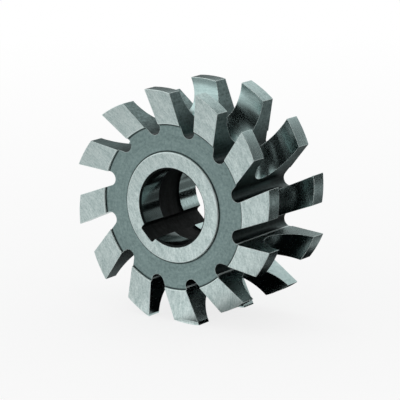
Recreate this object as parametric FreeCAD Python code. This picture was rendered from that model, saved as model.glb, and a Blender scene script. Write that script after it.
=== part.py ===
import FreeCAD, Part
import math
import os

# Concave milling cutter: a disc of high-speed steel whose form-relieved teeth mill a half-round edge.
# Lengths are in millimetres and angles in degrees, unless a comment says radians.
# The cutter is built with its axis along Z and one cutting edge on the X axis. It is then stood up as
# it rests on a bench: on two neighbouring teeth, its bore along Y, its front face looking along -Y.
# The origin is the middle of the bore.

# Disc and its form
cutter_diameter = 125.0         # over the cutting edges
cutter_width = 50.0             # over the ground side faces
form_radius = 16.0              # half-round form that the teeth cut
tooth_count = 12

# Teeth
rake_angle = 10.0               # lean of the cutting face ahead of a radius
gullet_angle = 25.0             # between a cutting face and the back of the next tooth
gullet_depth = 24.3             # from the cutting edges to the gullet's floor
gullet_floor_radius = 3.75
relief_fall = 5.7               # fall of the form towards the axis over one tooth pitch

# Side faces
hub_diameter = 58.0             # ground ring that the arbor's collars clamp
recess_diameter = 87.0          # turned recess from the hub out to the ground sides of the teeth
recess_depth = 1.0

# Bore
bore_diameter = 40.0
bore_chamfer = 1.0
bore_land_length = 16.0         # from each face to the relieved middle
bore_relief_depth = 1.0
keyway_width = 10.0
keyway_height = 43.5            # from the keyway's floor to the bore's wall across from it
keyway_corner_radius = 1.2

# Worked out from the sizes above
edge_radius = cutter_diameter / 2
bore_radius = bore_diameter / 2
half_width = cutter_width / 2
pitch = 2 * math.pi / tooth_count   # radians
rake = math.radians(rake_angle)
fall_rate = relief_fall / pitch     # radial fall per radian behind a cutting edge

AXIS = FreeCAD.Vector(0, 0, 1)
CENTRE = FreeCAD.Vector(0, 0, 0)


def polar(radius, angle):
    """Point at a radius and an angle in radians round the cutter's axis, halfway across its width."""
    return FreeCAD.Vector(radius * math.cos(angle), radius * math.sin(angle), 0)


def relieved_radius(lag):
    """Radius of the relieved land at an angle in radians behind its cutting edge."""
    return edge_radius - fall_rate * lag


def crossing(low, high, gap):
    """Value between low and high at which gap, a rising function, passes zero."""
    for _ in range(60):
        middle = (low + high) / 2
        low, high = (middle, high) if gap(middle) < 0 else (low, middle)
    return (low + high) / 2


def gullet_points():
    """Points of the gullet ahead of the cutting edge that lies on the X axis.

    They run down the cutting face, round the floor and up the back of the next tooth.
    """
    face = polar(1, rake)
    back = polar(1, rake + math.radians(gullet_angle))
    middle = (face + back).normalize()
    face_side = AXIS.cross(face)
    back_side = back.cross(AXIS)
    offset = gullet_floor_radius - edge_radius * math.sin(rake)
    reach = edge_radius - gullet_depth + gullet_floor_radius
    floor_centre = face * math.sqrt(reach ** 2 - offset ** 2) + face_side * offset
    face_end = floor_centre - face_side * gullet_floor_radius
    floor = floor_centre - middle * gullet_floor_radius
    back_start = floor_centre - back_side * gullet_floor_radius

    def beyond_land(length):
        point = back_start + back * length
        return point.Length - relieved_radius(pitch - math.atan2(point.y, point.x))

    back_corner = back_start + back * crossing(0, cutter_diameter, beyond_land)
    return polar(edge_radius, 0), face_end, floor, back_start, back_corner


def land_lag():
    """Angle in radians that a land covers behind its cutting edge."""
    back_corner = gullet_points()[-1]
    return pitch - math.atan2(back_corner.y, back_corner.x)


def land_edge():
    """Spiral edge of the relieved land that ends at the next cutting edge."""
    lag, steps = land_lag(), 8
    spiral = Part.BSplineCurve()
    spiral.interpolate([
        polar(relieved_radius(lag * step / steps), pitch - lag * step / steps)
        for step in range(steps, -1, -1)
    ])
    return spiral.toShape()


def pitch_edges():
    """Edges of one gullet and of the land beyond it."""
    cutting_edge, face_end, floor, back_start, back_corner = gullet_points()
    return [
        Part.LineSegment(cutting_edge, face_end).toShape(),
        Part.Arc(face_end, floor, back_start).toShape(),
        Part.LineSegment(back_start, back_corner).toShape(),
        land_edge(),
    ]


def turned_round(shape, tooth):
    """Copy of a shape turned on by a number of teeth."""
    return shape.rotated(CENTRE, AXIS, math.degrees(tooth * pitch))


def toothed_disc():
    """Disc with its gullets gashed and the lands behind its cutting edges relieved."""
    edges = [turned_round(edge, tooth) for tooth in range(tooth_count) for edge in pitch_edges()]
    outline = Part.Face(Part.Wire(edges))
    outline.translate(AXIS * -half_width)
    return outline.extrude(AXIS * cutter_width)


def form_cut():
    """Metal that the relieving tool takes from the tooth whose cutting edge lies on the X axis.

    It is a round bar of the form radius whose middle follows the land's spiral, so every radial
    section of the groove is the same half circle. It starts and ends a quarter of a gullet's mouth
    from the nearest cutting edges, and its seam runs outside the land.
    """
    runout = (pitch - land_lag()) / 4
    across = FreeCAD.Vector(0, 1, 0)
    spans, circles = 4, []
    for span in range(spans + 1):
        lag = pitch * span / spans - runout
        middle = polar(relieved_radius(lag), 0)
        circle = Part.Circle(middle, across, form_radius).toShape().rotated(middle, across, 90)
        circles.append(Part.Wire(circle.rotated(CENTRE, AXIS, -math.degrees(lag))))
    return Part.makeLoft(circles, True)


def side_recess(side):
    """Turned ring that sinks one side face, 1 for the front and -1 for the rear."""
    outward = AXIS * side
    start = outward * (half_width - recess_depth)
    ring = Part.makeCylinder(recess_diameter / 2, recess_depth, start, outward)
    return ring.cut(Part.makeCylinder(hub_diameter / 2, recess_depth, start, outward))


def bore_cut():
    """Round bore with a chamfer at each mouth and a relieved middle between its two lands."""
    relief_start = half_width - bore_land_length
    relief_radius = bore_radius + bore_relief_depth
    front_half = [
        (relief_radius, 0),
        (relief_radius, relief_start),
        (bore_radius, relief_start),
        (bore_radius, half_width - bore_chamfer),
        (bore_radius + bore_chamfer, half_width),
        (0, half_width),
    ]
    rear_half = [(radius, -height) for radius, height in front_half[:0:-1]]
    points = [FreeCAD.Vector(radius, 0, height) for radius, height in front_half + rear_half]
    return Part.Face(Part.makePolygon(points + points[:1])).revolve(CENTRE, AXIS, 360)


def keyway_cut():
    """Keyway along the whole bore, under the cutting edge that lies on the X axis."""
    floor = keyway_height - bore_radius
    corner = FreeCAD.Vector(0, -keyway_width / 2, -half_width)
    slot = Part.makeBox(floor, keyway_width, cutter_width, corner)
    floor_edges = [
        edge for edge in slot.Edges
        if abs(edge.CenterOfMass.x - floor) < 0.001 and abs(edge.CenterOfMass.z) < 0.001
    ]
    return slot.makeFillet(keyway_corner_radius, floor_edges)


def standing_turn():
    """Turn in degrees that sets the two teeth after the keyway's down on one level."""
    lag, steps = land_lag(), 400

    def lowest(edge_angle):
        lags = [lag * step / steps for step in range(steps + 1)]
        return min(relieved_radius(behind) * math.sin(edge_angle - behind) for behind in lags)

    straight_down = 3 * math.pi / 2
    first_edge = crossing(
        straight_down - pitch,
        straight_down,
        lambda angle: lowest(angle + pitch) - lowest(angle),
    )
    return math.degrees(first_edge - pitch)


def milling_cutter():
    """The whole cutter, standing on two teeth."""
    form = form_cut()
    form_cuts = [turned_round(form, tooth) for tooth in range(tooth_count)]
    cutter = toothed_disc().cut([side_recess(1), side_recess(-1), bore_cut()])
    cutter = cutter.cut(keyway_cut()).cut(form_cuts)
    cutter = cutter.rotated(CENTRE, AXIS, standing_turn())
    return cutter.rotated(CENTRE, FreeCAD.Vector(1, 0, 0), 90).Solids[0]


os.makedirs("parts", exist_ok=True)
milling_cutter().exportStep("parts/cutter.step")
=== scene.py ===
"""Looks of a concave milling cutter: a disc of high-speed steel with form-relieved teeth.

The cutter is one piece. Its bore runs along Y, its front face looks along -Y, and it stands on two teeth.
Lengths are metres and angles are radians, unless a name says otherwise. A point in the plane of the disc is
a complex number, x + z * 1j, so that turning it about the bore is a product.
"""
import cmath
import logging
import math
from collections.abc import Callable, Iterable, Sequence
from dataclasses import dataclass, field
from enum import Enum
from typing import Any

import bmesh
import bpy
from mathutils import Matrix, Vector


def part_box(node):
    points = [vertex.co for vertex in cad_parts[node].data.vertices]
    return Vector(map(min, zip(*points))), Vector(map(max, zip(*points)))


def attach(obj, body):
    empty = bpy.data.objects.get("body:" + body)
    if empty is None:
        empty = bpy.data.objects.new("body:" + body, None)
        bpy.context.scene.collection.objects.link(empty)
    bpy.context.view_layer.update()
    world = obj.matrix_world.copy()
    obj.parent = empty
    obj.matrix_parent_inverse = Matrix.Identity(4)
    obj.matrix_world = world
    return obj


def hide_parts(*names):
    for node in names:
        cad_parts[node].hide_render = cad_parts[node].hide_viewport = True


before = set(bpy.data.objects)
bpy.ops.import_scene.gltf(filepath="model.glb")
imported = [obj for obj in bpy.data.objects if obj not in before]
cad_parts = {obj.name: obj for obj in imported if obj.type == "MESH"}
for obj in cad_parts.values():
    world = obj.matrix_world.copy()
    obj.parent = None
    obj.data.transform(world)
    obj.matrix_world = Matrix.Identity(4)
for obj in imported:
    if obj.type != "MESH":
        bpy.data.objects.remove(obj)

LOG = logging.getLogger("milling_cutter")
MILLIMETRE = 0.001
WELD = 0.002 * MILLIMETRE
FINISH_LAYER = "finish"     # face attribute that holds the number of the face's surface
COVER_LAYER = "cover"       # point attribute that holds how much a sheet hides there
HALVINGS = 60               # of the span that a search narrows down
DEGREE = math.radians(1)

Colour = tuple[float, float, float]
Point = tuple[float, float, float]


class Surface(Enum):
    """Surfaces of the cutter that the maker finishes differently.

    The value is the number that the surface's faces carry in the mesh.
    """

    GROUND_SIDE = 0
    TURNED_RECESS = 1
    RELIEVED_LAND = 2
    FORM_GROOVE = 3
    CUTTING_FACE = 4
    GULLET = 5
    BORE_LAND = 6
    BORE_RELIEF = 7
    # Pale, partly non-metal steel on the edge breaks and the floor strip at the cutting face's foot; its
    # colour paints their glint, on breaks that are real.
    BROKEN_EDGE = 8


class Lay(Enum):
    """Direction in which the marks of a tool or wheel run over a surface."""

    ROUND_BORE = "round the bore"
    ALONG_BORE = "along the bore"
    WHEEL_ARCS = "arcs of a cup wheel"


def crossing(low: float, high: float, gap: Callable[[float], float]) -> float:
    """Finds where a rising function passes zero.

    Args:
        low: Value at which the function is below zero.
        high: Value at which the function is above zero.
        gap: The rising function.

    Returns:
        The value between low and high at which gap is zero.
    """
    for _ in range(HALVINGS):
        middle = (low + high) / 2
        low, high = (middle, high) if gap(middle) < 0 else (low, middle)
    return (low + high) / 2


def spread(low: float, high: float, steps: int) -> list[float]:
    """Evenly spaced values from low to high, both ends included.

    Args:
        low: First value.
        high: Last value.
        steps: Number of steps between them.

    Returns:
        The steps + 1 values.
    """
    return [low + (high - low) * step / steps for step in range(steps + 1)]


def placed(name: str, data: Any) -> bpy.types.Object:
    """Makes an object and puts it in the scene.

    Args:
        name: Name of the object.
        data: Its mesh, lens or light.

    Returns:
        The object.
    """
    made = bpy.data.objects.new(name, data)
    bpy.context.scene.collection.objects.link(made)
    return made


def turn_outwards(mesh: bpy.types.Mesh) -> int:
    """Turns every face of a closed mesh outwards.

    Args:
        mesh: The mesh.

    Returns:
        Number of edges that don't join two faces.
    """
    work = bmesh.new()
    work.from_mesh(mesh)
    bmesh.ops.recalc_face_normals(work, faces=work.faces)
    loose = sum(not edge.is_manifold for edge in work.edges)
    work.to_mesh(mesh)
    work.free()
    return loose


@dataclass(frozen=True)
class CutterSizes:
    """Driving sizes of the cutter."""

    half_width: float
    edge_radius: float = 62.5 * MILLIMETRE
    form_radius: float = 16 * MILLIMETRE
    tooth_count: int = 12
    rake: float = math.radians(10)
    gullet_angle: float = math.radians(25)
    gullet_depth: float = 24.3 * MILLIMETRE
    gullet_floor_radius: float = 3.75 * MILLIMETRE
    relief_fall: float = 5.7 * MILLIMETRE
    hub_radius: float = 29 * MILLIMETRE
    recess_radius: float = 43.5 * MILLIMETRE
    recess_depth: float = 1 * MILLIMETRE
    bore_radius: float = 20 * MILLIMETRE
    bore_chamfer: float = 1 * MILLIMETRE
    bore_land_length: float = 16 * MILLIMETRE
    bore_relief_depth: float = 1 * MILLIMETRE
    keyway_width: float = 10 * MILLIMETRE
    keyway_floor: float = 23.5 * MILLIMETRE
    keyway_corner_radius: float = 1.2 * MILLIMETRE

    @property
    def pitch(self) -> float:
        """Angle from one cutting edge to the next."""
        return 2 * math.pi / self.tooth_count

    @property
    def recess_level(self) -> float:
        """Distance of the recess's floor from the middle of the width."""
        return self.half_width - self.recess_depth

    def relieved_radius(self, lag: float, drop: float = 0.0) -> float:
        """Radius of the relieved form.

        Args:
            lag: Angle behind the cutting edge.
            drop: Depth of the form below the land.

        Returns:
            The radius, which falls evenly behind the cutting edge.
        """
        return self.edge_radius - self.relief_fall * lag / self.pitch - drop


@dataclass(frozen=True)
class Gullet:
    """Gash ahead of the cutting edge that lies on the X axis, in the plane of the disc.

    Attributes:
        sizes: Sizes of the cutter.
        face_end: Foot of the cutting face.
        back_start: Foot of the next tooth's back.
        floor_centre: Centre of the rounded floor.
        face: Direction outwards along the cutting face.
        back: Direction outwards along the back.
    """

    sizes: CutterSizes
    face: complex = field(init=False)
    back: complex = field(init=False)
    floor_centre: complex = field(init=False)
    face_end: complex = field(init=False)
    back_start: complex = field(init=False)

    def __post_init__(self) -> None:
        """Works the gullet out from the sizes."""
        sizes = self.sizes
        face = cmath.rect(1, sizes.rake)
        back = cmath.rect(1, sizes.rake + sizes.gullet_angle)
        offset = sizes.gullet_floor_radius - sizes.edge_radius * math.sin(sizes.rake)
        reach = sizes.edge_radius - sizes.gullet_depth + sizes.gullet_floor_radius
        centre = face * math.sqrt(reach ** 2 - offset ** 2) + face * 1j * offset
        found = {
            "face": face,
            "back": back,
            "floor_centre": centre,
            "face_end": centre - face * 1j * sizes.gullet_floor_radius,
            "back_start": centre + back * 1j * sizes.gullet_floor_radius,
        }
        for name, value in found.items():
            object.__setattr__(self, name, value)

    @property
    def lowest(self) -> complex:
        """Point of the floor that lies nearest to the bore."""
        return self.floor_centre * (1 - self.sizes.gullet_floor_radius / abs(self.floor_centre))

    def floor_points(self, start: complex, end: complex, steps: int) -> list[complex]:
        """Points of the rounded floor.

        Args:
            start: Point of the floor at which they start.
            end: Point of the floor at which they end.
            steps: Number of steps between the two.

        Returns:
            The points, start and end included.
        """
        first = start - self.floor_centre
        turn = cmath.phase((end - self.floor_centre) / first)
        return [self.floor_centre + first * cmath.rect(1, angle) for angle in spread(0, turn, steps)]

    def at_radius(self, foot: complex, direction: complex, radius: float) -> complex:
        """Point of a flank at a distance from the bore's axis.

        Args:
            foot: Foot of the flank.
            direction: Direction outwards along the flank.
            radius: Distance from the axis.

        Returns:
            The point.
        """
        reach = crossing(0, self.sizes.edge_radius, lambda length: abs(foot + direction * length) - radius)
        return foot + direction * reach

    def at_form(self, foot: complex, direction: complex, edge_angle: float, drop: float) -> complex:
        """Point where a flank meets the relieved form.

        Args:
            foot: Foot of the flank.
            direction: Direction outwards along the flank.
            edge_angle: Angle of the cutting edge that the form belongs to.
            drop: Depth of the form below the land.

        Returns:
            The point.
        """

        def beyond_form(length: float) -> float:
            """Height over the form at a length along the flank."""
            point = foot + direction * length
            return abs(point) - self.sizes.relieved_radius(edge_angle - cmath.phase(point), drop)

        return foot + direction * crossing(0, self.sizes.edge_radius, beyond_form)


class Shell:
    """Faces of a closed body, laid patch by patch and welded at the end."""

    def __init__(self) -> None:
        """Starts an empty shell."""
        self.points: list[Point] = []
        self.faces: list[list[int]] = []
        self.surfaces: list[Surface] = []

    def lay(self, outline: Iterable[Point], surface: Surface) -> None:
        """Lays one face.

        Args:
            outline: Its corners in order.
            surface: The finish that it takes.
        """
        corners = list(outline)
        start = len(self.points)
        self.points.extend(corners)
        self.faces.append(list(range(start, start + len(corners))))
        self.surfaces.append(surface)

    def lay_grid(self, rows: Sequence[Sequence[Point]], surfaces: Sequence[Surface]) -> None:
        """Lays a grid of four-sided faces.

        Args:
            rows: Rows of points, each with as many points.
            surfaces: The finish of each column of faces.
        """
        for row, following in zip(rows, rows[1:]):
            for column, surface in enumerate(surfaces):
                corners = (row[column], row[column + 1], following[column + 1], following[column])
                self.lay(corners, surface)

    def mesh(self, name: str) -> bpy.types.Mesh:
        """Makes the mesh, with each face's finish in a face attribute.

        Args:
            name: Name of the mesh.

        Returns:
            The mesh, welded along the seams of its patches.
        """
        made = bpy.data.meshes.new(name)
        made.from_pydata(self.points, [], self.faces)
        layer = made.attributes.new(FINISH_LAYER, "INT", "FACE")
        layer.data.foreach_set("value", [surface.value for surface in self.surfaces])
        work = bmesh.new()
        work.from_mesh(made)
        bmesh.ops.remove_doubles(work, verts=work.verts, dist=WELD)
        work.to_mesh(made)
        work.free()
        return made


def standing_angle(sizes: CutterSizes, land_lag: float) -> float:
    """Angle of the cutting edge over the keyway when the cutter stands on the two teeth after it.

    Args:
        sizes: Sizes of the cutter.
        land_lag: Angle that a land covers behind its cutting edge.

    Returns:
        The angle from the X axis towards Z.
    """
    places_along_land = 400
    lags = spread(0, land_lag, places_along_land)

    def lowest(edge_angle: float) -> float:
        """Height of a land's lowest point when its cutting edge is at an angle."""
        return min(sizes.relieved_radius(lag) * math.sin(edge_angle - lag) for lag in lags)

    straight_down = 1.5 * math.pi
    first = crossing(
        straight_down - sizes.pitch,
        straight_down,
        lambda angle: lowest(angle + sizes.pitch) - lowest(angle),
    )
    return first - sizes.pitch


@dataclass
class ToothPitch:
    """One tooth whose cutting edge lies on the X axis, with half of each gullet beside it.

    It takes in the tooth's share of the side faces and of the bore, so that copies of it turned
    round the bore close up into the whole cutter.

    Attributes:
        sizes: Sizes of the cutter.
        round_steps: Faces across the half-round groove.
        lag_steps: Faces along the land.
        floor_steps: Faces round each half of a gullet's floor.
        strip_steps: Faces of the floor that are ground together with the cutting face and take the painted
            glint of the edge breaks.
        rim_steps: Faces along the recess's rim.
        bore_steps: Faces round the bore.
        gullet: Gullet ahead of the tooth.
        back_turn: Turn that takes the gullet ahead of the tooth to the one behind it.
        form: Rows of points over land and groove.
        land_lag: Angle that the land covers behind the cutting edge.
    """

    sizes: CutterSizes
    round_steps: int = 40
    lag_steps: int = 14
    floor_steps: int = 7
    strip_steps: int = 1
    rim_steps: int = 10
    bore_steps: int = 20
    gullet: Gullet = field(init=False)
    back_turn: complex = field(init=False)
    form: list[list[Point]] = field(init=False)
    land_lag: float = field(init=False)

    def __post_init__(self) -> None:
        """Finds the gullet's flanks and the grid of the relieved form."""
        self.gullet = Gullet(self.sizes)
        self.back_turn = cmath.rect(1, -self.sizes.pitch)
        self.form = self.form_grid()
        self.land_lag = -cmath.phase(self.form_points(0.0)[-1])

    def profile(self) -> list[tuple[float, float]]:
        """Places across the width and depths of the form below the land, from front to rear."""
        radius, half = self.sizes.form_radius, self.sizes.half_width
        groove = [
            (radius * math.sin(angle), radius * math.cos(angle))
            for angle in spread(-math.pi / 2, math.pi / 2, self.round_steps)
        ]
        groove[0], groove[-1] = (-radius, 0.0), (radius, 0.0)
        return [(-half, 0.0), *groove, (half, 0.0)]

    def form_points(self, drop: float) -> list[complex]:
        """Points of the relieved form at one depth, from the cutting face to the tooth's back.

        Args:
            drop: Depth below the land.

        Returns:
            The points, in the plane of the disc.
        """
        gullet, sizes = self.gullet, self.sizes
        front = gullet.at_form(gullet.face_end, gullet.face, 0.0, drop)
        rear = gullet.at_form(gullet.back_start, gullet.back, sizes.pitch, drop) * self.back_turn
        lags = spread(-cmath.phase(front), -cmath.phase(rear), self.lag_steps)
        between = [cmath.rect(sizes.relieved_radius(lag, drop), -lag) for lag in lags[1:-1]]
        return [front, *between, rear]

    def form_grid(self) -> list[list[Point]]:
        """Rows of points over land and groove, one row from front to rear at each step behind the edge."""
        columns = [
            [(point.real, across, point.imag) for point in self.form_points(drop)]
            for across, drop in self.profile()
        ]
        return [list(row) for row in zip(*columns)]

    def lay_form(self, shell: Shell) -> None:
        """Lays the lands and the groove between them."""
        surfaces = [Surface.RELIEVED_LAND, *[Surface.FORM_GROOVE] * self.round_steps, Surface.RELIEVED_LAND]
        shell.lay_grid(self.form, surfaces)

    def flank_foot(self, foot: complex, rim: complex) -> list[Point]:
        """Outline of a flank's inner part, from its front rim round its foot to its rear rim.

        Args:
            foot: Foot of the flank.
            rim: Point of the flank at the recess's radius.

        Returns:
            The corners, which step in where the side recess cuts the flank.
        """
        half, level = self.sizes.half_width, self.sizes.recess_level
        front = [(rim, -half), (rim, -level), (foot, -level)]
        rear = [(point, -across) for point, across in reversed(front)]
        return [(point.real, across, point.imag) for point, across in front + rear]

    def lay_flanks(self, shell: Shell) -> None:
        """Lays the cutting face and the tooth's back, each one flat face."""
        foot = self.flank_foot(self.gullet.face_end, self.face_rim)
        shell.lay([*foot, *reversed(self.form[0])], Surface.CUTTING_FACE)
        foot = self.flank_foot(self.gullet.back_start * self.back_turn, self.back_rim)
        shell.lay([*foot, *reversed(self.form[-1])], Surface.GULLET)

    @property
    def face_rim(self) -> complex:
        """Point of the cutting face at the recess's radius."""
        return self.gullet.at_radius(self.gullet.face_end, self.gullet.face, self.sizes.recess_radius)

    @property
    def back_rim(self) -> complex:
        """Point of the tooth's back at the recess's radius."""
        rim = self.gullet.at_radius(self.gullet.back_start, self.gullet.back, self.sizes.recess_radius)
        return rim * self.back_turn

    def rim_points(self) -> list[complex]:
        """Points of the recess's rim from the tooth's back to its cutting face."""
        angles = spread(cmath.phase(self.back_rim), cmath.phase(self.face_rim), self.rim_steps)
        between = [cmath.rect(self.sizes.recess_radius, angle) for angle in angles[1:-1]]
        return [self.back_rim, *between, self.face_rim]

    def floor_halves(self) -> tuple[list[complex], list[complex]]:
        """Points of the floor ahead of the tooth, outwards, and of the one behind it, inwards."""
        gullet = self.gullet
        ahead = gullet.floor_points(gullet.lowest, gullet.face_end, self.floor_steps)
        behind = gullet.floor_points(gullet.back_start, gullet.lowest, self.floor_steps)
        return ahead, [point * self.back_turn for point in behind]

    def lay_floors(self, shell: Shell) -> None:
        """Lays both halves of the gullets' floors, with a strip at the cutting face's foot in pale steel, a
        painted glint.
        """
        level = self.sizes.recess_level
        ahead, behind = self.floor_halves()
        strip = self.floor_steps - self.strip_steps
        for points, surface in (
            (ahead[:strip + 1], Surface.GULLET),
            (ahead[strip:], Surface.BROKEN_EDGE),
            (behind, Surface.GULLET),
        ):
            rows = [[(point.real, -level, point.imag), (point.real, level, point.imag)] for point in points]
            shell.lay_grid(rows, [surface])

    def lay_sides(self, shell: Shell) -> None:
        """Lays the tooth's ground sides, the recess and its rim, front and rear."""
        rim = self.rim_points()
        ahead, behind = self.floor_halves()
        hub = [cmath.rect(self.sizes.hub_radius, angle) for angle in self.bore_angles()]
        for side in (-1, 1):
            half, level = side * self.sizes.half_width, side * self.sizes.recess_level
            land = [row[0 if side < 0 else -1] for row in self.form]
            shell.lay([*[(p.real, half, p.imag) for p in rim], *land], Surface.GROUND_SIDE)
            disc = [*hub, *ahead, *reversed(rim), *behind]
            shell.lay([(p.real, level, p.imag) for p in disc], Surface.TURNED_RECESS)
            rows = [[(p.real, half, p.imag), (p.real, level, p.imag)] for p in rim]
            shell.lay_grid(rows, [Surface.GROUND_SIDE])

    def bore_angles(self) -> list[float]:
        """Angles from the middle of the gullet behind the tooth to the middle of the one ahead."""
        ahead = cmath.phase(self.gullet.lowest)
        return spread(ahead - self.sizes.pitch, ahead, self.bore_steps)

    def lay_hub(self, shell: Shell) -> None:
        """Lays the hub's rings, the chamfers, the bore's lands and its relieved middle."""
        sizes = self.sizes
        half, bore = sizes.half_width, sizes.bore_radius
        relief, mouth = bore + sizes.bore_relief_depth, bore + sizes.bore_chamfer
        land_end = half - sizes.bore_land_length
        front = [
            (sizes.hub_radius, -sizes.recess_level, Surface.GROUND_SIDE),
            (sizes.hub_radius, -half, Surface.GROUND_SIDE),
            (mouth, -half, Surface.BORE_RELIEF),
            (bore, sizes.bore_chamfer - half, Surface.BORE_LAND),
            (bore, -land_end, Surface.BORE_RELIEF),
            (relief, -land_end, Surface.BORE_RELIEF),
        ]
        rear = [
            (radius, -across, surface)
            for (radius, across, _), (_, _, surface) in zip(front[::-1], [*front[-2::-1], front[0]])
        ]
        outline = front + rear
        surfaces = [surface for _, _, surface in outline[:-1]]
        rows = [
            [(radius * math.cos(angle), across, radius * math.sin(angle)) for radius, across, _ in outline]
            for angle in self.bore_angles()
        ]
        shell.lay_grid(rows, surfaces)

    def mesh(self) -> bpy.types.Mesh:
        """Mesh of the tooth and its share of the disc."""
        shell = Shell()
        self.lay_form(shell)
        self.lay_flanks(shell)
        self.lay_floors(shell)
        self.lay_sides(shell)
        self.lay_hub(shell)
        return shell.mesh("tooth_pitch")


class NodeBench:
    """Short-hand for building one node tree."""

    def __init__(self, tree: bpy.types.NodeTree) -> None:
        """Takes the tree to build in."""
        self.tree = tree

    def node(self, kind: str, **settings: Any) -> bpy.types.Node:
        """Adds a node.

        Args:
            kind: Its type's name.
            **settings: Properties to set on it.

        Returns:
            The node.
        """
        made = self.tree.nodes.new(kind)
        for name, value in settings.items():
            setattr(made, name, value)
        return made

    def feed(self, socket: bpy.types.NodeSocket, source: Any) -> None:
        """Links a socket to another, or sets its plain value.

        Args:
            socket: The input to feed.
            source: An output socket, or the value.
        """
        if isinstance(source, bpy.types.NodeSocket):
            self.tree.links.new(source, socket)
        else:
            socket.default_value = source

    def group(self, tree: bpy.types.NodeTree, sources: dict[str, Any]) -> Any:
        """Places a shader group.

        Args:
            tree: Its node tree.
            sources: Output sockets or values by the input's name.

        Returns:
            Its outputs.
        """
        made = self.node("ShaderNodeGroup", node_tree=tree)
        for label, source in sources.items():
            self.feed(made.inputs[label], source)
        return made.outputs

    def math(self, operation: str, *inputs: Any) -> bpy.types.NodeSocket:
        """Adds a Math node.

        Args:
            operation: What it works out.
            *inputs: Its operands, sockets or numbers.

        Returns:
            Its result.
        """
        made = self.node("ShaderNodeMath", operation=operation)
        for socket, source in zip(made.inputs, inputs):
            self.feed(socket, source)
        return made.outputs[0]

    def mix_colours(self, share: Any, first: Any, second: Any) -> bpy.types.NodeSocket:
        """Adds a Mix node for colours.

        Args:
            share: Share of the second colour.
            first: Colour at share 0.
            second: Colour at share 1.

        Returns:
            The mixed colour.
        """
        made = self.node("ShaderNodeMix", data_type="RGBA")
        self.feed(made.inputs["Factor"], share)
        for socket, source in ((made.inputs[6], first), (made.inputs[7], second)):
            self.feed(socket, (*source, 1.0) if isinstance(source, tuple) else source)
        return made.outputs[2]

    def ranged(self, value: Any, low: Any, high: Any, to_low: Any, to_high: Any) -> bpy.types.NodeSocket:
        """Adds a Map Range node that keeps within its ends.

        Args:
            value: Value to map.
            low: Value that gives to_low.
            high: Value that gives to_high.
            to_low: Result at low.
            to_high: Result at high.

        Returns:
            The mapped value.
        """
        made = self.node("ShaderNodeMapRange", clamp=True)
        labels = ("Value", "From Min", "From Max", "To Min", "To Max")
        for label, source in zip(labels, (value, low, high, to_low, to_high)):
            self.feed(made.inputs[label], source)
        return made.outputs["Result"]

    def noise(self, place: Any, scale: Any, detail: float, roughness: float) -> bpy.types.NodeSocket:
        """Adds a three-dimensional Noise texture.

        Args:
            place: Coordinates that it reads.
            scale: Its scale.
            detail: Octaves of finer noise.
            roughness: Strength of the finer octaves.

        Returns:
            Its value, from 0 to 1.
        """
        made = self.node("ShaderNodeTexNoise")
        self.feed(made.inputs["Vector"], place)
        self.feed(made.inputs["Scale"], scale)
        self.feed(made.inputs["Detail"], detail)
        self.feed(made.inputs["Roughness"], roughness)
        return made.outputs["Fac"]

    def vector(self, x: Any, y: Any, z: Any) -> bpy.types.NodeSocket:
        """Joins three values into a vector."""
        made = self.node("ShaderNodeCombineXYZ")
        for socket, source in zip(made.inputs, (x, y, z)):
            self.feed(socket, source)
        return made.outputs[0]

    def split(self, vector: Any) -> Any:
        """Splits a vector into its X, Y and Z."""
        made = self.node("ShaderNodeSeparateXYZ")
        self.feed(made.inputs[0], vector)
        return made.outputs

    def distance(self, x: Any, z: Any) -> bpy.types.NodeSocket:
        """Distance from the origin in a plane, by the two coordinates in it."""
        squares = self.math("ADD", self.math("MULTIPLY", x, x), self.math("MULTIPLY", z, z))
        return self.math("SQRT", squares)

    def mix_shaders(self, share: Any, first: Any, second: Any) -> bpy.types.NodeSocket:
        """Mixes two shaders, by the share of the second one."""
        made = self.node("ShaderNodeMixShader")
        for socket, source in zip(made.inputs, (share, first, second)):
            self.feed(socket, source)
        return made.outputs[0]


def shader_group(name: str, inputs: dict[str, str], outputs: dict[str, str]) -> tuple[NodeBench, Any, Any]:
    """Starts a shader node group.

    Args:
        name: Its name.
        inputs: Socket types by input name.
        outputs: Socket types by output name.

    Returns:
        A bench on its tree, its input node and its output node.
    """
    tree = bpy.data.node_groups.new(name, "ShaderNodeTree")
    for in_out, sockets in (("INPUT", inputs), ("OUTPUT", outputs)):
        for label, kind in sockets.items():
            tree.interface.new_socket(label, in_out=in_out, socket_type=kind)
    bench = NodeBench(tree)
    return bench, bench.node("NodeGroupInput"), bench.node("NodeGroupOutput")


def blank_material(name: str) -> tuple[bpy.types.Material, NodeBench]:
    """Starts a material that has no nodes yet.

    Args:
        name: Its name.

    Returns:
        The material, and a bench on its tree.
    """
    made = bpy.data.materials.new(name)
    made.use_nodes = True
    made.node_tree.nodes.clear()
    return made, NodeBench(made.node_tree)


def lay_group(lay: Lay) -> bpy.types.NodeTree:
    """Group that turns a place on the cutter into coordinates, Along running along the tool's marks.

    Args:
        lay: Direction of the marks.

    Returns:
        The group, from Place to Across and Along.
    """
    name = "lay_" + lay.name.lower()
    if name in bpy.data.node_groups:
        return bpy.data.node_groups[name]
    wheel_reach, wheel_angle = 0.115, math.radians(205)
    bench, source, target = shader_group(
        name, {"Place": "NodeSocketVector"}, {"Across": "NodeSocketFloat", "Along": "NodeSocketFloat"}
    )
    x, y, z = bench.split(source.outputs["Place"])
    if lay is Lay.WHEEL_ARCS:
        x = bench.math("SUBTRACT", x, wheel_reach * math.cos(wheel_angle))
        z = bench.math("SUBTRACT", z, wheel_reach * math.sin(wheel_angle))
    radius = bench.distance(x, z)
    arc = bench.math("MULTIPLY", bench.math("ARCTAN2", z, x), radius)
    if lay is Lay.ALONG_BORE:
        across, along = bench.math("ADD", radius, arc), y
    else:
        across, along = bench.math("ADD", radius, y), arc
    bench.feed(target.inputs["Across"], across)
    bench.feed(target.inputs["Along"], along)
    return bench.tree


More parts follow.
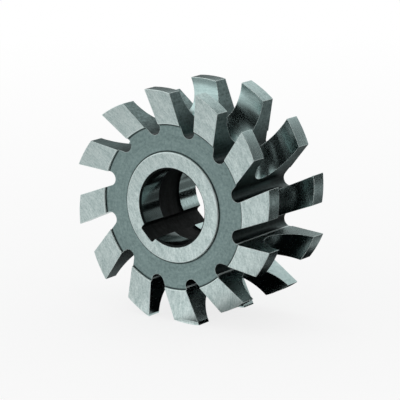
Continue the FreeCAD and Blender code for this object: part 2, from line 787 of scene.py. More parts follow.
def grain_group() -> bpy.types.NodeTree:
    """Group for the fine marks that a wheel or tool leaves, with the mottling of hardened steel.

    Returns:
        The group, from Place, Across, Along, Mark Width, Mark Length, Mottle Size and Mottle Share
        to Tone, Sheen and Height, each from 0 to 1.
    """
    name = "machined_grain"
    if name in bpy.data.node_groups:
        return bpy.data.node_groups[name]
    inputs = {"Place": "NodeSocketVector"}
    for label in ("Across", "Along", "Mark Width", "Mark Length", "Mottle Size", "Mottle Share"):
        inputs[label] = "NodeSocketFloat"
    outputs = {label: "NodeSocketFloat" for label in ("Tone", "Sheen", "Height")}
    bench, source, target = shader_group(name, inputs, outputs)
    given = source.outputs
    across = bench.math("DIVIDE", given["Across"], given["Mark Width"])
    along = bench.math("DIVIDE", given["Along"], given["Mark Length"])
    fine = bench.noise(bench.vector(across, along, 0.0), 1.0, 2.0, 0.6)
    wider, longer, apart = 0.3, 0.4, 3.7
    coarse_place = bench.vector(
        bench.math("MULTIPLY", across, wider), bench.math("MULTIPLY", along, longer), apart
    )
    coarse = bench.noise(coarse_place, 1.0, 1.0, 0.5)
    marks = bench.math("ADD", bench.math("MULTIPLY", fine, 0.6), bench.math("MULTIPLY", coarse, 0.4))
    mottle_scale = bench.math("DIVIDE", 1.0, given["Mottle Size"])
    mottle = bench.noise(given["Place"], mottle_scale, 3.0, 0.65)
    mottle = bench.ranged(mottle, 0.34, 0.66, 0.0, 1.0)
    marks = bench.ranged(marks, 0.35, 0.65, 0.0, 1.0)
    plain_share = bench.math("SUBTRACT", 1.0, given["Mottle Share"])
    tone = bench.math(
        "ADD",
        bench.math("MULTIPLY", marks, plain_share),
        bench.math("MULTIPLY", mottle, given["Mottle Share"]),
    )
    clouds = bench.noise(given["Place"], bench.math("MULTIPLY", mottle_scale, 0.12), 2.0, 0.5)
    sheen = bench.math("ADD", bench.math("MULTIPLY", tone, 0.5), bench.math("MULTIPLY", clouds, 0.5))
    bench.feed(target.inputs["Tone"], tone)
    bench.feed(target.inputs["Sheen"], sheen)
    bench.feed(target.inputs["Height"], marks)
    return bench.tree


def painted_shade_group() -> bpy.types.NodeTree:
    """Group for painted shade in a ring round a corner's radius, where shade falls in turned corners and in
    the gullets.

    Returns:
        The group, from Place, Corner Radius and Line Width to a Mask that is 1 in the corner.
    """
    name = "corner_grime"
    if name in bpy.data.node_groups:
        return bpy.data.node_groups[name]
    inputs = {
        "Place": "NodeSocketVector",
        "Corner Radius": "NodeSocketFloat",
        "Line Width": "NodeSocketFloat",
    }
    bench, source, target = shader_group(name, inputs, {"Mask": "NodeSocketFloat"})
    x, _, z = bench.split(source.outputs["Place"])
    gap = bench.math("SUBTRACT", bench.distance(x, z), source.outputs["Corner Radius"])
    away = bench.math("ABSOLUTE", gap)
    # Painted shade: 1 on the corner's radius, fading to 0 a line width away.
    mask = bench.ranged(away, 0.0, source.outputs["Line Width"], 1.0, 0.0)
    bench.feed(target.inputs["Mask"], mask)
    return bench.tree


def darkening_group() -> bpy.types.NodeTree:
    """Group for a darkening that grows along one direction across the cutter.

    Returns:
        The group, from Place, Towards, Start and Full to a Mask that is 1 where the darkening is strongest.
    """
    name = "oil_film"
    if name in bpy.data.node_groups:
        return bpy.data.node_groups[name]
    inputs = {
        "Place": "NodeSocketVector",
        "Towards": "NodeSocketVector",
        "Start": "NodeSocketFloat",
        "Full": "NodeSocketFloat",
    }
    bench, source, target = shader_group(name, inputs, {"Mask": "NodeSocketFloat"})
    reach = bench.node("ShaderNodeVectorMath", operation="DOT_PRODUCT")
    bench.feed(reach.inputs[0], source.outputs["Place"])
    bench.feed(reach.inputs[1], source.outputs["Towards"])
    mask = bench.ranged(reach.outputs["Value"], source.outputs["Start"], source.outputs["Full"], 0.0, 1.0)
    bench.feed(target.inputs["Mask"], mask)
    return bench.tree


@dataclass(frozen=True)
class DarkeningRamp:
    """Darkening of the colour that grows along one direction across the cutter.

    Attributes:
        towards: Direction in which it grows.
        start: Distance along it at which the darkening begins.
        full: Distance along it at which the darkening is strongest.
        share: How much of the steel it hides there.
    """

    towards: Point
    start: float
    full: float
    share: float


@dataclass(frozen=True)
class SteelFinish:
    """One finish of the cutter's steel.

    Attributes:
        name: Name of the material.
        bright: Colour on the crests of the marks.
        dull: Colour in their hollows.
        smooth: Least roughness.
        rough: Greatest roughness.
        lay: Direction of the marks.
        mark_width: Distance from mark to mark.
        mark_length: Length of a mark.
        mottle_size: Size of the mottling's patches.
        mottle_share: Share of the mottling in the tone, the rest being the marks.
        relief: Depth of the marks.
        painted_shade_corners: Radii of turned corners and gullets round which shade is painted.
        painted_shade_width: Width over which the painted shade fades out.
        painted_shade_share: How much of the steel the painted shade hides on the corner's radius.
        shade_and_darkening_colour: Colour of the painted shade and of the darkening ramps.
        darkenings: Darkening ramps across the cutter.
        metal: Share of bare metal, the rest being a non-metal surface.
        shine: Specular level of that rest.
    """

    name: str
    bright: Colour
    dull: Colour
    smooth: float
    rough: float
    lay: Lay
    mark_width: float
    mark_length: float
    mottle_size: float
    mottle_share: float
    relief: float
    painted_shade_corners: tuple[float, ...] = ()
    painted_shade_width: float = 0.5 * MILLIMETRE
    painted_shade_share: float = 1.0
    shade_and_darkening_colour: Colour = (0.012, 0.018, 0.018)
    darkenings: tuple[DarkeningRamp, ...] = ()
    metal: float = 1.0
    shine: float = 0.5

    def material(self) -> bpy.types.Material:
        """Builds the material.

        Returns:
            A procedural metal that reads the object's own coordinates.
        """
        made, bench = blank_material(self.name)
        place = bench.node("ShaderNodeTexCoord").outputs["Object"]
        lay = bench.group(lay_group(self.lay), {"Place": place})
        grain = bench.group(grain_group(), {
            "Place": place,
            "Across": lay["Across"],
            "Along": lay["Along"],
            "Mark Width": self.mark_width,
            "Mark Length": self.mark_length,
            "Mottle Size": self.mottle_size,
            "Mottle Share": self.mottle_share,
        })
        colour = bench.mix_colours(grain["Tone"], self.dull, self.bright)
        # Painted shade: darkens the colour round each corner radius, where shade falls in the corners and
        # gullets.
        for corner in self.painted_shade_corners:
            fed = {"Place": place, "Corner Radius": corner, "Line Width": self.painted_shade_width}
            share = bench.math("MULTIPLY", bench.group(painted_shade_group(), fed)["Mask"], self.painted_shade_share)
            colour = bench.mix_colours(share, colour, self.shade_and_darkening_colour)
        # Darkens the colour along each ramp's direction.
        for film in self.darkenings:
            fed = {"Place": place, "Towards": film.towards, "Start": film.start, "Full": film.full}
            share = bench.math("MULTIPLY", bench.group(darkening_group(), fed)["Mask"], film.share)
            colour = bench.mix_colours(share, colour, self.shade_and_darkening_colour)
        bump = bench.node("ShaderNodeBump")
        bench.feed(bump.inputs["Height"], grain["Height"])
        bench.feed(bump.inputs["Distance"], self.relief)
        steel = bench.node("ShaderNodeBsdfPrincipled")
        bench.feed(steel.inputs["Metallic"], self.metal)
        bench.feed(steel.inputs["Specular IOR Level"], self.shine)
        bench.feed(steel.inputs["Base Color"], colour)
        roughness = bench.ranged(grain["Sheen"], 0.25, 0.75, self.rough, self.smooth)
        bench.feed(steel.inputs["Roughness"], roughness)
        bench.feed(steel.inputs["Normal"], bump.outputs["Normal"])
        target = bench.node("ShaderNodeOutputMaterial")
        bench.feed(target.inputs["Surface"], steel.outputs["BSDF"])
        return made


def steel_tint(level: float) -> Colour:
    """Cool grey of the steel.

    Args:
        level: Its green level.

    Returns:
        The colour, with less red, the more so the darker it is, and a little less blue.
    """
    return ((0.62 + 0.27 * level) * level, level, 0.98 * level)


def steel_finishes(sizes: CutterSizes) -> dict[Surface, SteelFinish]:
    """Finishes of the cutter's surfaces.

    Args:
        sizes: Sizes of the cutter, for the corners that hold grime.

    Returns:
        The finish of each surface.
    """
    mm = MILLIMETRE
    # Painted shade: dark lines on the recess floor beside the hub's wall and the rim's wall, where shade
    # falls in the turned corners.
    corner_width = 0.7 * mm
    hub_corner = sizes.hub_radius + corner_width / 2
    rim_corner = sizes.recess_radius - corner_width / 2
    return {
        Surface.GROUND_SIDE: SteelFinish(
            "ground_side_steel", bright=steel_tint(0.96), dull=steel_tint(0.54), smooth=0.27, rough=0.40,
            lay=Lay.WHEEL_ARCS, mark_width=0.7 * mm, mark_length=3 * mm,
            mottle_size=0.9 * mm, mottle_share=0.4, relief=0.012 * mm,
        ),
        Surface.TURNED_RECESS: SteelFinish(
            "turned_recess_steel", bright=steel_tint(0.47), dull=steel_tint(0.29), smooth=0.40, rough=0.52,
            lay=Lay.ROUND_BORE, mark_width=0.9 * mm, mark_length=9 * mm,
            mottle_size=1.5 * mm, mottle_share=0.65, relief=0.012 * mm,
            painted_shade_corners=(hub_corner, rim_corner), painted_shade_width=corner_width,
        ),
        Surface.RELIEVED_LAND: SteelFinish(
            "relieved_land_steel", bright=steel_tint(0.64), dull=steel_tint(0.40), smooth=0.22, rough=0.34,
            lay=Lay.ROUND_BORE, mark_width=0.7 * mm, mark_length=4 * mm,
            mottle_size=1.2 * mm, mottle_share=0.6, relief=0.012 * mm,
        ),
        Surface.FORM_GROOVE: SteelFinish(
            "form_groove_steel", bright=steel_tint(0.54), dull=steel_tint(0.40), smooth=0.20, rough=0.32,
            lay=Lay.ROUND_BORE, mark_width=0.8 * mm, mark_length=12 * mm,
            mottle_size=2.0 * mm, mottle_share=0.4, relief=0.006 * mm,
        ),
        Surface.CUTTING_FACE: SteelFinish(
            "cutting_face_steel", bright=steel_tint(0.66), dull=steel_tint(0.46), smooth=0.22, rough=0.36,
            lay=Lay.ALONG_BORE, mark_width=0.7 * mm, mark_length=7 * mm,
            mottle_size=1.6 * mm, mottle_share=0.5, relief=0.008 * mm,
        ),
        Surface.GULLET: SteelFinish(
            "gashed_gullet_steel", bright=steel_tint(0.38), dull=steel_tint(0.13), smooth=0.28, rough=0.44,
            lay=Lay.ALONG_BORE, mark_width=1.0 * mm, mark_length=8 * mm,
            mottle_size=1.5 * mm, mottle_share=0.6, relief=0.016 * mm,
            # Painted shade: the gullet darkens towards its floor, fading out 12 mm out from the floor's
            # radius.
            painted_shade_corners=(sizes.edge_radius - sizes.gullet_depth,), painted_shade_width=12 * mm, painted_shade_share=0.88,
        ),
        Surface.BORE_LAND: SteelFinish(
            "ground_bore_steel", bright=steel_tint(0.62), dull=steel_tint(0.48), smooth=0.10, rough=0.18,
            lay=Lay.ROUND_BORE, mark_width=0.6 * mm, mark_length=14 * mm,
            mottle_size=1.8 * mm, mottle_share=0.4, relief=0.004 * mm,
            # The bore's front land is darker throughout, and darker still towards the front of the bore's
            # bottom.
            darkenings=(
                DarkeningRamp(towards=(0, -1, 0), start=2 * mm, full=9 * mm, share=0.72),
                DarkeningRamp(towards=(0, -0.6, -0.8), start=17 * mm, full=23 * mm, share=0.8),
            ),
        ),
        # Near-black, non-metal steel of the bore's relief and the keyway's walls.
        Surface.BORE_RELIEF: SteelFinish(
            "scaled_relief_steel", bright=steel_tint(0.014), dull=steel_tint(0.004), smooth=0.5, rough=0.7,
            lay=Lay.ROUND_BORE, mark_width=0.8 * mm, mark_length=8 * mm,
            mottle_size=2.0 * mm, mottle_share=0.5, relief=0.01 * mm, metal=0.0, shine=0.12,
        ),
        # Painted glint: pale steel, part of it non-metal, that shows the edges as light lines; the breaks
        # themselves are real.
        Surface.BROKEN_EDGE: SteelFinish(
            "broken_edge_steel", bright=steel_tint(0.97), dull=steel_tint(0.84), smooth=0.38, rough=0.52,
            lay=Lay.ROUND_BORE, mark_width=0.5 * mm, mark_length=3 * mm,
            mottle_size=1.0 * mm, mottle_share=0.6, relief=0.002 * mm, metal=0.55,
        ),
    }


def ring_tree(materials: dict[Surface, bpy.types.Material]) -> tuple[bpy.types.NodeTree, dict[str, str]]:
    """Geometry tree that turns copies of a tooth round the bore, welds them and dresses them.

    Args:
        materials: Material of each surface.

    Returns:
        The tree, and the identifiers of its inputs by name.
    """
    tree = bpy.data.node_groups.new("tooth_ring", "GeometryNodeTree")
    face = tree.interface
    face.new_socket("Tooth", in_out="INPUT", socket_type="NodeSocketGeometry")
    identifiers = {
        label: face.new_socket(label, in_out="INPUT", socket_type=kind).identifier
        for label, kind in {
            "Tooth Count": "NodeSocketInt",
            "First Edge": "NodeSocketFloat",
            "Weld Distance": "NodeSocketFloat",
        }.items()
    }
    face.new_socket("Cutter", in_out="OUTPUT", socket_type="NodeSocketGeometry")
    bench = NodeBench(tree)
    source, target = bench.node("NodeGroupInput"), bench.node("NodeGroupOutput")
    given = source.outputs
    places = bench.node("GeometryNodePoints")
    bench.feed(places.inputs["Count"], given["Tooth Count"])
    pitch = bench.math("DIVIDE", 2 * math.pi, given["Tooth Count"])
    turned = bench.math("MULTIPLY", bench.node("GeometryNodeInputIndex").outputs[0], pitch)
    angle = bench.math("MULTIPLY", bench.math("ADD", turned, given["First Edge"]), -1.0)
    copies = bench.node("GeometryNodeInstanceOnPoints")
    bench.feed(copies.inputs["Points"], places.outputs[0])
    bench.feed(copies.inputs["Instance"], given["Tooth"])
    bench.feed(copies.inputs["Rotation"], bench.vector(0.0, angle, 0.0))
    solid = bench.node("GeometryNodeRealizeInstances")
    bench.feed(solid.inputs[0], copies.outputs[0])
    welded = bench.node("GeometryNodeMergeByDistance")
    bench.feed(welded.inputs["Geometry"], solid.outputs[0])
    bench.feed(welded.inputs["Distance"], given["Weld Distance"])
    dressed = welded.outputs[0]
    number = bench.node("GeometryNodeInputNamedAttribute", data_type="INT")
    number.inputs["Name"].default_value = FINISH_LAYER
    for surface, material in materials.items():
        same = bench.node("FunctionNodeCompare", data_type="INT", operation="EQUAL")
        bench.feed(same.inputs[2], number.outputs["Attribute"])
        bench.feed(same.inputs[3], surface.value)
        dresser = bench.node("GeometryNodeSetMaterial")
        bench.feed(dresser.inputs["Geometry"], dressed)
        bench.feed(dresser.inputs["Selection"], same.outputs[0])
        dresser.inputs["Material"].default_value = material
        dressed = dresser.outputs[0]
    bench.feed(target.inputs[0], dressed)
    return tree, identifiers


@dataclass
class KeywayBar:
    """Bar with the keyway's section, which is cut out of the bore.

    Attributes:
        sizes: Sizes of the cutter.
        angle: Angle of the keyway's middle.
        corner_steps: Faces round each floor corner.
        overrun: How far the bar stands out of each side face.
    """

    sizes: CutterSizes
    angle: float
    corner_steps: int = 5
    overrun: float = 2 * MILLIMETRE

    def section(self) -> list[complex]:
        """Outline of the bar's section, keyway floor outermost."""
        sizes = self.sizes
        half, corner = sizes.keyway_width / 2, sizes.keyway_corner_radius
        inside = sizes.bore_radius / 2
        first = complex(sizes.keyway_floor - corner, half - corner)
        rounded = [first + cmath.rect(corner, turn) for turn in spread(math.pi / 2, 0, self.corner_steps)]
        mirrored = [point.conjugate() for point in reversed(rounded)]
        flat = [complex(inside, half), *rounded, *mirrored, complex(inside, -half)]
        return [point * cmath.rect(1, self.angle) for point in flat]

    def build(self, material: bpy.types.Material) -> bpy.types.Object:
        """Makes the bar.

        Args:
            material: Material that the cut faces take.

        Returns:
            The bar, as an object of its own.
        """
        reach = self.sizes.half_width + self.overrun
        outline = self.section()
        count = len(outline)
        points = [(p.real, across, p.imag) for across in (-reach, reach) for p in outline]
        sides = [(i, (i + 1) % count, (i + 1) % count + count, i + count) for i in range(count)]
        made = bpy.data.meshes.new("keyway_bar")
        made.from_pydata(points, [], [tuple(range(count)), tuple(range(count, 2 * count)), *sides])
        turn_outwards(made)
        made.materials.append(material)
        return placed("keyway_bar", made)


def plain_mesh(piece: bpy.types.Object, name: str) -> bpy.types.Mesh:
    """Mesh of an object with its modifiers applied.

    Args:
        piece: The object.
        name: Name of the mesh.

    Returns:
        The new mesh.
    """
    graph = bpy.context.evaluated_depsgraph_get()
    made = bpy.data.meshes.new_from_object(piece.evaluated_get(graph))
    made.name = name
    return made


@dataclass
class MillingCutter:
    """The whole cutter: its ring of teeth, its keyed bore and the breaks on its edges.

    Attributes:
        sizes: Sizes of the cutter.
        plain_break: Width of the break on an edge that isn't in edge_breaks.
        sharp_angle: Least angle between two faces that makes an edge.
        break_steps: Faces across a break.
        edge_breaks: Width of the break on an edge, by the surfaces that meet there.
    """

    sizes: CutterSizes
    plain_break: float = 0.12 * MILLIMETRE
    sharp_angle: float = math.radians(24)
    break_steps: int = 2
    edge_breaks: dict[frozenset[Surface], float] = field(init=False)

    def __post_init__(self) -> None:
        """Sets the breaks of the edges that the maker treats by themselves."""
        mm = MILLIMETRE
        self.edge_breaks = {
            frozenset((Surface.CUTTING_FACE, Surface.RELIEVED_LAND)): 0.18 * mm,
            frozenset((Surface.CUTTING_FACE, Surface.FORM_GROOVE)): 0.15 * mm,
            frozenset((Surface.CUTTING_FACE, Surface.GROUND_SIDE)): 0.22 * mm,
            frozenset((Surface.RELIEVED_LAND, Surface.GROUND_SIDE)): 0.22 * mm,
            frozenset((Surface.GROUND_SIDE, Surface.BORE_RELIEF)): 0.0,
            frozenset((Surface.BORE_LAND, Surface.BORE_RELIEF)): 0.0,
            frozenset((Surface.BORE_RELIEF,)): 0.0,
            frozenset((Surface.GROUND_SIDE,)): 0.55 * mm,
            frozenset((Surface.RELIEVED_LAND, Surface.FORM_GROOVE)): 0.2 * mm,
            frozenset((Surface.GULLET, Surface.TURNED_RECESS)): 0.08 * mm,
        }

    def ring(self, materials: dict[Surface, bpy.types.Material]) -> bpy.types.Object:
        """Makes the ring of teeth and cuts the keyway.

        Args:
            materials: Material of each surface.

        Returns:
            The cutter as a plain mesh, without its edge breaks.
        """
        tooth = ToothPitch(self.sizes)
        piece = placed("milling_cutter", tooth.mesh())
        first_edge = standing_angle(self.sizes, tooth.land_lag)
        tree, inputs = ring_tree(materials)
        pattern = piece.modifiers.new("tooth_ring", "NODES")
        pattern.node_group = tree
        pattern[inputs["Tooth Count"]] = self.sizes.tooth_count
        pattern[inputs["First Edge"]] = first_edge
        pattern[inputs["Weld Distance"]] = WELD
        whole = plain_mesh(piece, "cutter_ring")
        piece.modifiers.remove(pattern)
        loose = turn_outwards(whole)
        LOG.info("ring of teeth: %d faces, %d open edges", len(whole.polygons), loose)
        piece.data = whole
        bar = KeywayBar(self.sizes, first_edge).build(materials[Surface.BORE_RELIEF])
        cut = piece.modifiers.new("keyway", "BOOLEAN")
        cut.operation, cut.solver, cut.object = "DIFFERENCE", "EXACT", bar
        cut.material_mode = "TRANSFER"
        keyed = plain_mesh(piece, "milling_cutter")
        piece.modifiers.remove(cut)
        bpy.data.objects.remove(bar)
        piece.data = keyed
        return piece

    def mark_edges(self, mesh: bpy.types.Mesh) -> float:
        """Sets how wide each outer edge is broken, and keeps the inner corners sharp.

        Args:
            mesh: Mesh of the cutter.

        Returns:
            The widest break, which a bevel weight of 1 stands for.
        """
        by_name = {finish.name: surface for surface, finish in steel_finishes(self.sizes).items()}
        widest = max(*self.edge_breaks.values(), self.plain_break)
        surfaces = [by_name.get(material.name) if material else None for material in mesh.materials]
        work = bmesh.new()
        work.from_mesh(mesh)
        weights = work.edges.layers.float.new("bevel_weight_edge")
        for face in work.faces:
            face.smooth = True
        for edge in work.edges:
            if len(edge.link_faces) != 2 or edge.calc_face_angle() < self.sharp_angle:
                continue
            pair = frozenset(surfaces[face.material_index] for face in edge.link_faces)
            width = self.edge_breaks.get(pair, self.plain_break)
            if edge.calc_face_angle_signed() < 0 or not width:
                edge.smooth = False
            else:
                edge[weights] = width / widest
        work.to_mesh(mesh)
        work.free()
        return widest

    def build(self) -> bpy.types.Object:
        """Makes the cutter and dresses it.

        Returns:
            The finished piece.
        """
        materials = {surface: finish.material() for surface, finish in steel_finishes(self.sizes).items()}
        piece = self.ring(materials)
        widest = self.mark_edges(piece.data)
        # The bevels take the pale steel that paints the edges' glint.
        piece.data.materials.append(materials[Surface.BROKEN_EDGE])
        bevel = piece.modifiers.new("edge_breaks", "BEVEL")
        bevel.limit_method = "WEIGHT"
        bevel.width = widest
        bevel.segments = self.break_steps
        bevel.use_clamp_overlap = False
        bevel.material = len(piece.data.materials) - 1
        even = piece.modifiers.new("flat_shading", "WEIGHTED_NORMAL")
        even.keep_sharp = True
        even.weight = 100
        return piece


@dataclass(frozen=True)
class Camera:
    """View of the photograph.

    Attributes:
        azimuth: Turn of the camera to the right of the front face's normal.
        elevation: Height of the camera above the horizon.
        roll: Turn of the picture.
        distance: Distance to the middle of the front face.
        focal_pixels: Focal length in pixels of the picture.
        picture: Width and height of the picture in pixels.
        middle: Pixel of the middle of the front face.
        film: Width of the film in millimetres.
    """

    azimuth: float = math.radians(35.68)
    elevation: float = math.radians(13.15)
    roll: float = math.radians(-0.49)
    distance: float = 1.2847
    focal_pixels: float = 2500.36
    picture: float = 400.0
    middle: tuple[float, float] = (171.677, 207.755)
    film: float = 36.0

    def build(self, target: Vector) -> bpy.types.Object:
        """Makes the camera.

        Args:
            target: Middle of the front face.

        Returns:
            The camera, set as the scene's own.
        """
        level = Vector((math.cos(self.azimuth), math.sin(self.azimuth), 0))
        ahead = Vector((-math.sin(self.azimuth), math.cos(self.azimuth), 0))
        forward = ahead * math.cos(self.elevation) - Vector((0, 0, math.sin(self.elevation)))
        above = ahead * math.sin(self.elevation) + Vector((0, 0, math.cos(self.elevation)))
        right = level * math.cos(self.roll) + above * math.sin(self.roll)
        above = above * math.cos(self.roll) - level * math.sin(self.roll)
        pixel = self.distance / self.focal_pixels
        aside = (self.middle[0] - self.picture / 2) * pixel
        down = (self.middle[1] - self.picture / 2) * pixel
        eye = target - right * aside + above * down - forward * self.distance
        lens = bpy.data.cameras.new("photograph_view")
        lens.sensor_width = self.film
        lens.lens = self.focal_pixels * self.film / self.picture
        lens.clip_start, lens.clip_end = 0.05, 20
        camera = placed("photograph_view", lens)
        turn = Matrix((right, above, -forward)).transposed().to_4x4()
        camera.matrix_world = Matrix.Translation(eye) @ turn
        bpy.context.scene.camera = camera
        return camera


@dataclass(frozen=True)
class SoftLamp:
    """A soft square lamp that looks at the cutter.

    Attributes:
        name: Its name.
        place: Where it hangs.
        side: Length of its side.
        power: Power in watts.
    """

    name: str
    place: Point
    side: float
    power: float

    def build(self) -> bpy.types.Object:
        """Hangs the lamp and points it at the cutter."""
        light = bpy.data.lights.new(self.name, "AREA")
        light.shape, light.size, light.energy = "SQUARE", self.side, self.power
        lamp = placed(self.name, light)
        lamp.location = self.place
        lamp.rotation_euler = (-Vector(self.place)).to_track_quat("-Z", "Y").to_euler()
        return lamp


@dataclass(frozen=True)
class Span:
    """Reach of a sheet along one of its coordinates.

    Attributes:
        start: Where it starts.
        end: Where it ends.
        fade_in: Width over which it thickens from its start.
        fade_out: Width over which it thins out to its end.
    """

    start: float
    end: float
    fade_in: float = 0.0
    fade_out: float = 0.0

    def stations(self, steps: int) -> list[tuple[float, float]]:
        """Coordinates at which the sheet has points.

        Args:
            steps: Faces between the fades.

        Returns:
            The coordinates, each with the share of the sheet's cover that it has there.
        """
        inner = spread(self.start + self.fade_in, self.end - self.fade_out, steps)
        found = [(value, 1.0) for value in inner]
        if self.fade_in:
            found.insert(0, (self.start, 0.0))
        if self.fade_out:
            found.append((self.end, 0.0))
        return found


def arc(start: float, end: float, fade_in: float = 0.0, fade_out: float = 0.0) -> Span:
    """Reach round the bore's axis, from the X axis upwards, with its four sizes in degrees."""
    return Span(start * DEGREE, end * DEGREE, fade_in * DEGREE, fade_out * DEGREE)


@dataclass(frozen=True)
class BlackSheet:
    """Black sheet that thins out towards its borders, for the steel to mirror.

    The camera doesn't see it, and it casts no shadow.

    Attributes:
        name: Its name.
        first: Reach along its first coordinate.
        second: Reach along its second coordinate.
        place: Point of the sheet at two coordinates.
        cover: Share of what lies behind that its middle hides.
        steps: Faces between the fades along the first coordinate.
    """

    name: str
    first: Span
    second: Span
    place: Callable[[float, float], Point]
    cover: float = 1.0
    steps: int = 1

    def build(self) -> bpy.types.Object:
        """Hangs the sheet.

        Returns:
            The sheet, as a part of the studio.
        """
        firsts, seconds = self.first.stations(self.steps), self.second.stations(1)
        points = [self.place(u, v) for u, _ in firsts for v, _ in seconds]
        cover = [self.cover * share * other for _, share in firsts for _, other in seconds]
        width = len(seconds)
        faces = [
            (i * width + j, (i + 1) * width + j, (i + 1) * width + j + 1, i * width + j + 1)
            for i in range(len(firsts) - 1)
            for j in range(width - 1)
        ]
        mesh = bpy.data.meshes.new(self.name)
        mesh.from_pydata(points, [], faces)
        layer = mesh.attributes.new(COVER_LAYER, "FLOAT", "POINT")
        layer.data.foreach_set("value", cover)
        mesh.materials.append(self.material())
        sheet = placed(self.name, mesh)
        sheet.visible_camera = sheet.visible_diffuse = sheet.visible_shadow = False
        return sheet

    @staticmethod
    def material() -> bpy.types.Material:
        """Black that is clear where the sheet's cover is 0."""
        name = "black_sheet"
        if name in bpy.data.materials:
            return bpy.data.materials[name]
        made, bench = blank_material(name)
        cover = bench.node("ShaderNodeAttribute", attribute_name=COVER_LAYER).outputs["Fac"]
        black = bench.node("ShaderNodeBsdfDiffuse")
        black.inputs["Color"].default_value = (0.004, 0.005, 0.005, 1)
        clear = bench.node("ShaderNodeBsdfTransparent")
        target = bench.node("ShaderNodeOutputMaterial")
        blend = bench.mix_shaders(cover, clear.outputs[0], black.outputs[0])
        bench.feed(target.inputs["Surface"], blend)
        return made


